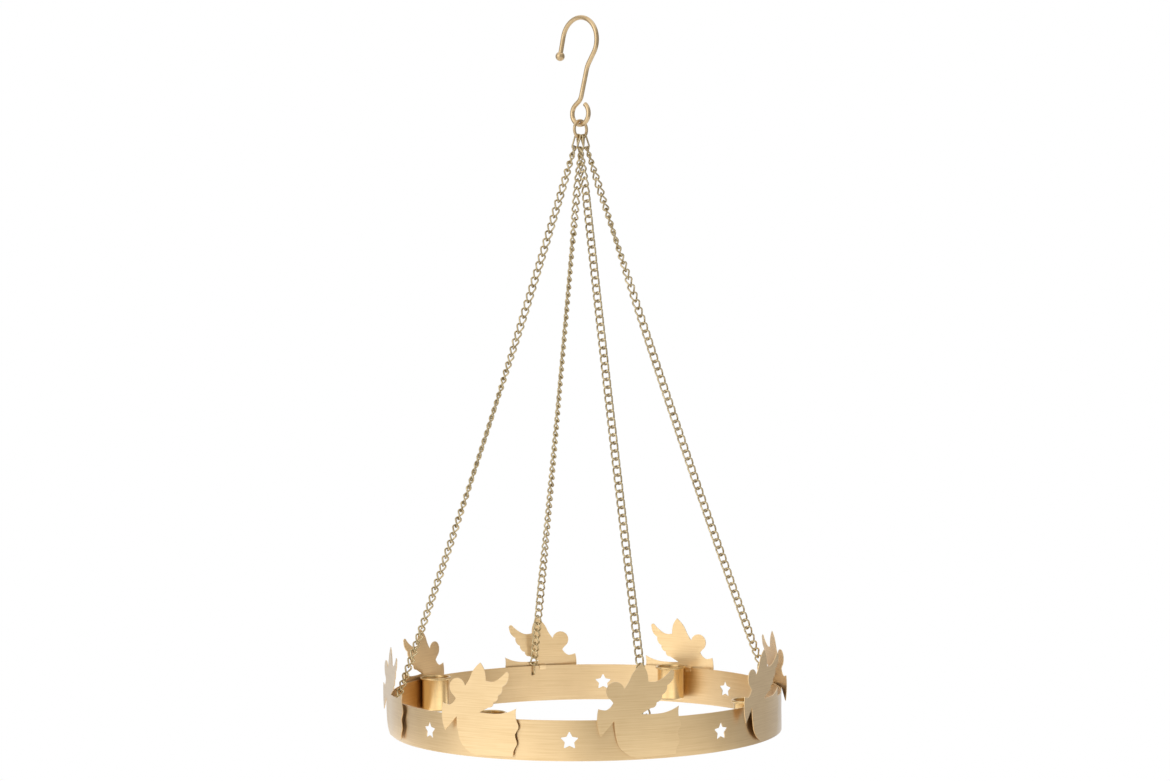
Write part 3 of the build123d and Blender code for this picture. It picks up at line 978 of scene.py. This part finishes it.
class CANDLE_OT_angels(bpy.types.Operator):
    """Cut the angels from sheet and stand them outside the band"""

    bl_idname = "candle_ring.angels"
    bl_label = "Angels"

    def execute(self, context):
        sizes = context.scene.candle_ring_crown
        low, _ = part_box("band")
        radius = angel_radius(context.scene)
        turns = chain_turns()
        cells = [[outline] for outline in angel_outlines()]
        brass = finish_named("brushed_brass_sheet")
        for number in range(1, ANGELS + 1):
            turn = turns[0] + FULL_TURN * (number - 1) / ANGELS - sizes.angel_shift / radius
            place = hugging(turn, radius, low.z + sizes.angel_lift)
            name = f"flying_angel_{number}"
            mesh = plate_mesh(name, cells, sizes.angel_sheet, sizes.eased_edge, place, ANGEL_STEP)
            new_piece(name, mesh, brass, "crown", "brushed_brass", f"angel_{number}")
        return {"FINISHED"}


class CANDLE_OT_clips(bpy.types.Operator):
    """Bend the clips that carry the angels on the band's top edge"""

    bl_idname = "candle_ring.clips"
    bl_label = "Clips"

    def execute(self, context):
        sizes = context.scene.candle_ring_crown
        _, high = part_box("band")
        half = sizes.clip_width / 2
        outside = math.sqrt(angel_radius(context.scene) ** 2 - half**2) - sizes.clip_rest
        inside = sizes.diameter / 2 - sizes.sheet - sizes.clip_play
        sheet = sizes.clip_sheet
        foot, top = -sizes.clip_leg, sheet
        outer_run = [(inside - sheet, foot), (inside - sheet, top), (outside, top), (outside, foot)]
        inner_run = [(outside - sheet, foot), (outside - sheet, 0), (inside, 0), (inside, foot)]
        outline = rounded_path([Vector(p) for p in outer_run], [sheet], False)
        outline += rounded_path([Vector(p) for p in inner_run], [sheet * CLIP_INNER_BEND], False)
        outline.reverse()
        brass = finish_named("brushed_brass_sheet")
        for number in range(1, ANGELS + 1):
            out, along = facing(node_turn(f"clip_{number}"))
            middle = along * half + Vector((0, 0, high.z + sizes.clip_rest))
            place = moved_by(axes_at(middle, out, (0, 0, 1), -along))
            name = f"angel_clip_{number}"
            mesh = plate_mesh(name, [[outline]], sizes.clip_width, sizes.eased_edge, place)
            new_piece(name, mesh, brass, "crown", "brushed_brass", f"clip_{number}")
        return {"FINISHED"}


# Brightness of the studio round the object, by direction from the camera in degrees, left below zero
STUDIO_TONES = [
    (-180, 1.05), (-165, 0.92), (-146, 0.70), (-110, 0.46), (-88, 0.54), (-74, 1.02), (-56, 1.09),
    (-22, 1.06), (-12, 1.03), (-4, 0.58), (6, 0.33), (18, 0.45), (34, 0.64), (60, 0.48), (90, 0.29),
    (124, 0.47), (146, 0.56), (165, 0.80), (180, 1.05),
]
# Brightness of the white card round the foot of the crown, which lights its inside
CARD_TONES = [
    (-138, 0.85), (-122, 1.60), (-92, 2.05), (-75, 1.90), (-35, 1.55), (0, 1.90), (25, 2.00), (45, 2.00),
    (62, 1.55), (78, 0.85), (100, 0.60), (122, 0.90), (140, 1.60), (156, 1.60), (170, 0.60),
]


def white_light(tree, kind, strength):
    """White light from a node of this kind, an emission or a background."""
    return add_node(tree, f"ShaderNode{kind}", {"Color": WHITE, "Strength": strength}).outputs[kind]


def soft_wall(name, radius, low, high, tones, azimuth):
    """A round wall of soft light and shade that only the metal mirrors, as wide as its tones reach."""
    steps = 2 * ROUND_STEPS
    first, last = tones[0][0], tones[-1][0]
    bm = bmesh.new()
    tone_layer = bm.verts.layers.float.new("tone")
    rows = ([], [])
    for k in range(steps + 1):
        side = first + (last - first) * k / steps
        turn = math.radians(side) + azimuth - math.pi / 2
        for row, height in zip(rows, (low, high)):
            row.append(bm.verts.new(around(radius, turn, height)))
            row[-1][tone_layer] = read_off(tones, side)
    for k in range(steps):
        bm.faces.new((rows[0][k + 1], rows[0][k], rows[1][k], rows[1][k + 1]))
    mesh = finished_mesh(name, bm)
    material, tree = new_material(name)
    tone = add_node(tree, "ShaderNodeAttribute", attribute_name="tone").outputs["Fac"]
    show(tree, white_light(tree, "Emission", tone))
    mesh.materials.append(material)
    wall = new_object(name, mesh)
    for ray in ("camera", "diffuse", "transmission", "volume_scatter", "shadow"):
        setattr(wall, f"visible_{ray}", False)


def seen_rays(tree):
    """1 for what the camera sees, straight or mirrored, and 0 for light that falls on other things."""
    path = add_node(tree, "ShaderNodeLightPath")
    seen = path.outputs["Is Camera Ray"]
    for ray in ("Is Glossy Ray", "Is Transmission Ray"):
        seen = joined(tree, "MAXIMUM", seen, path.outputs[ray])
    return seen


def mixed(tree, share, first, second):
    """The first surface, going over to the second by a share."""
    return add_node(tree, "ShaderNodeMixShader", {0: share, 1: first, 2: second}).outputs["Shader"]


def pale_floor(settings, height):
    """A plain pale floor well below the crown, which takes its shadow and runs out to white at its edges."""
    half = settings.floor_size / 2
    corners = [(-half, -half, 0), (half, -half, 0), (half, half, 0), (-half, half, 0)]
    mesh = listed_mesh("floor", corners, [(0, 1, 2, 3)])
    material, tree = new_material("matt_white_paper")
    away = add_node(tree, "ShaderNodeVectorMath", {0: object_place(tree)}, operation="LENGTH")
    whiter = spread(tree, away.outputs["Value"], (half * FADE_START, half * FADE_END), (NEAR_WHITE, 1.0))
    share = joined(tree, "MULTIPLY", seen_rays(tree), whiter)
    paper = add_node(tree, "ShaderNodeBsdfDiffuse", {"Color": (*settings.pale, 1)}).outputs["BSDF"]
    show(tree, mixed(tree, share, paper, white_light(tree, "Emission", 1.0)))
    mesh.materials.append(material)
    floor = new_object("floor", mesh)
    floor.location.z = height


def white_world(fill):
    """A white background at strength 1, and an even fill for matt surfaces."""
    world = bpy.data.worlds.new("white_studio")
    bpy.context.scene.world = world
    world.use_nodes = True
    tree = world.node_tree
    tree.nodes.clear()
    matt, seen = white_light(tree, "Background", fill), white_light(tree, "Background", 1.0)
    show(tree, mixed(tree, seen_rays(tree), matt, seen), "ShaderNodeOutputWorld")


def soft_lamp(settings, target):
    """A square area lamp to the left of the camera, aimed at the crown."""
    data = bpy.data.lights.new("left_softbox", "AREA")
    data.energy = settings.lamp_watts
    data.size = settings.lamp_size
    lamp = new_object("left_softbox", data)
    turn = settings.camera_azimuth - settings.lamp_side - math.pi / 2
    level = math.cos(settings.lamp_elevation)
    back = around(level, turn, math.sin(settings.lamp_elevation))
    lamp.location = target + back * settings.lamp_distance
    lamp.rotation_mode = "QUATERNION"
    lamp.rotation_quaternion = (-back).to_track_quat("-Z", "Y")


class CANDLE_OT_stage(bpy.types.Operator):
    """Set up the camera, the pale floor and the soft studio light"""

    bl_idname = "candle_ring.stage"
    bl_label = "Stage"

    def execute(self, context):
        settings = context.scene.candle_ring_stage
        low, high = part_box("band")
        floor_height = low.z - settings.floor_drop
        pale_floor(settings, floor_height)
        azimuth = settings.camera_azimuth
        wall_top = floor_height + settings.wall_height
        soft_wall("studio_wall", settings.wall_radius, floor_height, wall_top, STUDIO_TONES, azimuth)
        card_top = low.z - settings.card_drop
        card_foot = card_top - settings.card_height
        soft_wall("white_card", settings.card_radius, card_foot, card_top, CARD_TONES, azimuth)
        white_world(settings.fill)
        soft_lamp(settings, Vector((0, 0, (low.z + high.z) / 2)))

        data = bpy.data.cameras.new("camera")
        data.sensor_width = SENSOR_WIDTH
        data.lens = settings.focal_pixels * data.sensor_width / IMAGE_WIDTH
        data.clip_end = CLIP_END
        camera = new_object("camera", data)
        place = around(settings.camera_distance, azimuth - math.pi / 2, settings.camera_height)
        turn = Matrix.Rotation(azimuth - settings.camera_yaw, 4, "Z")
        turn = turn @ Matrix.Rotation(math.pi / 2 + settings.camera_pitch, 4, "X")
        turn = turn @ Matrix.Rotation(settings.camera_roll, 4, "Z")
        camera.matrix_world = Matrix.Translation(place) @ turn
        context.scene.camera = camera
        context.scene.view_settings.view_transform = "Standard"
        return {"FINISHED"}


OPERATORS = [
    CANDLE_OT_hook, CANDLE_OT_ring, CANDLE_OT_chains, CANDLE_OT_end_links, CANDLE_OT_band, CANDLE_OT_cups,
    CANDLE_OT_angels, CANDLE_OT_clips, CANDLE_OT_stage,
]
GROUPS = {
    "candle_ring_hook": HookSizes,
    "candle_ring_chains": ChainSizes,
    "candle_ring_crown": CrownSizes,
    "candle_ring_colours": BrassColours,
    "candle_ring_stage": StageSettings,
}


class CANDLE_PT_panel(bpy.types.Panel):
    """Sizes, colours and building steps of the candle ring"""

    bl_idname = "CANDLE_PT_panel"
    bl_label = "Candle ring"
    bl_space_type = "VIEW_3D"
    bl_region_type = "UI"
    bl_category = "Candle ring"

    def draw(self, context):
        for operator in OPERATORS:
            self.layout.operator(operator.bl_idname)
        for name, group in GROUPS.items():
            box = self.layout.box()
            for prop in group.__annotations__:
                box.prop(getattr(context.scene, name), prop)


def register():
    """Register the settings, the building steps and the panel."""
    for name, group in GROUPS.items():
        bpy.utils.register_class(group)
        setattr(bpy.types.Scene, name, PointerProperty(type=group))
    for operator in OPERATORS:
        bpy.utils.register_class(operator)
    bpy.utils.register_class(CANDLE_PT_panel)


def unregister():
    """Take the panel, the building steps and the settings out again."""
    bpy.utils.unregister_class(CANDLE_PT_panel)
    for operator in reversed(OPERATORS):
        bpy.utils.unregister_class(operator)
    for name, group in GROUPS.items():
        delattr(bpy.types.Scene, name)
        bpy.utils.unregister_class(group)


def main():
    register()
    bpy.ops.candle_ring.hook()
    bpy.ops.candle_ring.ring()
    bpy.ops.candle_ring.chains()
    bpy.ops.candle_ring.end_links()
    bpy.ops.candle_ring.band()
    bpy.ops.candle_ring.cups()
    bpy.ops.candle_ring.angels()
    bpy.ops.candle_ring.clips()
    bpy.ops.candle_ring.stage()


if __name__ == "__main__":
    main()
